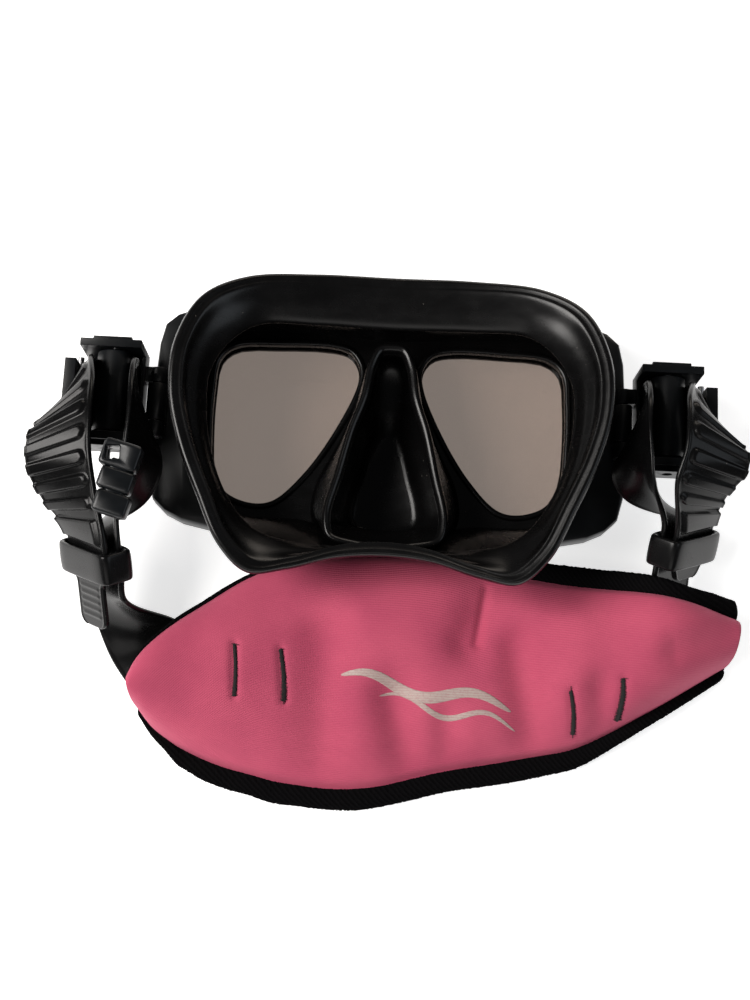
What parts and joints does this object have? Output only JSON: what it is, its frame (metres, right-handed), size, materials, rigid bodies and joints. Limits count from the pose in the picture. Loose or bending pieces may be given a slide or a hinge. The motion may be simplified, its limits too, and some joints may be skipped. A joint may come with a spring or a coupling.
{
  "type": "diving mask",
  "caption": "Two-lens diving mask with silicone skirt and nose pocket, swivelling strap buckles, ribbed strap and neoprene strap cover.",
  "frame": {"origin": "on the frame's flat front rim at the nose bridge, on the mask's middle plane", "axes": "+X along the mask's width towards the wearer's right, +Y towards the forehead, +Z towards the wearer's face"},
  "size_m": [0.2554, 0.1859, 0.0601],
  "materials": {
    "frame_plastic": "satin moulded",
    "buckle_plastic": "satin moulded",
    "keeper_plastic": "satin moulded",
    "skirt_silicone": "glossy silicone",
    "strap_silicone": "satin silicone",
    "lens_glass": "clear tempered",
    "pin_steel": "drawn wire",
    "cover_jersey": "nylon jersey on neoprene",
    "cover_lining": "nylon jersey",
    "cover_edging": "woven binding",
    "stitch_thread": "polyester thread"
  },
  "bodies": {
    "root": {"frame": "frame_plastic", "skirt": "skirt_silicone", "strap_middle": "strap_silicone", "cover_panel": "cover_jersey", "cover_lining": "cover_lining", "cover_edging_top": "cover_edging", "cover_edging_bottom": "cover_edging", "lens_left": "lens_glass", "lens_bezel_left": "frame_plastic", "strap_loop_left": "cover_edging", "stitch_left_outer": "stitch_thread", "stitch_left_inner": "stitch_thread", "lens_right": "lens_glass", "lens_bezel_right": "frame_plastic", "strap_loop_right": "cover_edging", "stitch_right_outer": "stitch_thread", "stitch_right_inner": "stitch_thread"},
    "buckle_left": {"buckle_left": "buckle_plastic", "hinge_pin_left": "pin_steel", "roller_axle_left": "pin_steel", "lever_pin_left": "pin_steel", "lever_spring_left": "pin_steel", "strap_end_left": "strap_silicone"},
    "roller_left": {"roller_left": "buckle_plastic"},
    "lock_lever_left": {"lock_lever_left": "buckle_plastic"},
    "keeper_left": {"keeper_left": "strap_silicone"},
    "buckle_right": {"buckle_right": "buckle_plastic", "hinge_pin_right": "pin_steel", "roller_axle_right": "pin_steel", "lever_pin_right": "pin_steel", "lever_spring_right": "pin_steel", "strap_end_right": "strap_silicone"},
    "roller_right": {"roller_right": "buckle_plastic"},
    "lock_lever_right": {"lock_lever_right": "buckle_plastic"},
    "keeper_right": {"keeper_right": "strap_silicone"},
    "snorkel_keeper": {"snorkel_keeper": "keeper_plastic"}
  },
  "joints": [
    {"name": "buckle_left_swivel", "type": "hinge", "parent": "root", "child": "buckle_left", "pos_m": [-0.0865, -0.026, 0.017], "axis": [0, -1, 0], "range_deg": [-8, 12]},
    {"name": "roller_left_spin", "type": "hinge", "parent": "buckle_left", "child": "roller_left", "pos_m": [-0.101, -0.026, 0.027], "axis": [0, -1, 0], "continuous": true},
    {"name": "lock_lever_left_lift", "type": "hinge", "parent": "buckle_left", "child": "lock_lever_left", "pos_m": [-0.1152, -0.026, 0.019], "axis": [0, -1, 0], "range_deg": [0, 12], "stiffness_Nm_per_rad": 0.05},
    {"name": "keeper_left_slide", "type": "slide", "parent": "buckle_left", "child": "keeper_left", "axis": [0.1002, -0.8818, -0.4609], "range_m": [-0.002, 0.002]},
    {"name": "buckle_right_swivel", "type": "hinge", "parent": "root", "child": "buckle_right", "pos_m": [0.0865, -0.026, 0.017], "axis": [0, 1, 0], "range_deg": [-8, 12]},
    {"name": "roller_right_spin", "type": "hinge", "parent": "buckle_right", "child": "roller_right", "pos_m": [0.101, -0.026, 0.027], "axis": [0, 1, 0], "continuous": true},
    {"name": "lock_lever_right_lift", "type": "hinge", "parent": "buckle_right", "child": "lock_lever_right", "pos_m": [0.1152, -0.026, 0.019], "axis": [0, 1, 0], "range_deg": [0, 12], "stiffness_Nm_per_rad": 0.05},
    {"name": "keeper_right_slide", "type": "slide", "parent": "buckle_right", "child": "keeper_right", "axis": [-0.1002, -0.8818, -0.4609], "range_m": [-0.002, 0.002]},
    {"name": "snorkel_keeper_slide", "type": "slide", "parent": "buckle_left", "child": "snorkel_keeper", "axis": [0, -1, 0], "range_m": [-0.002, 0.003]}
  ]
}
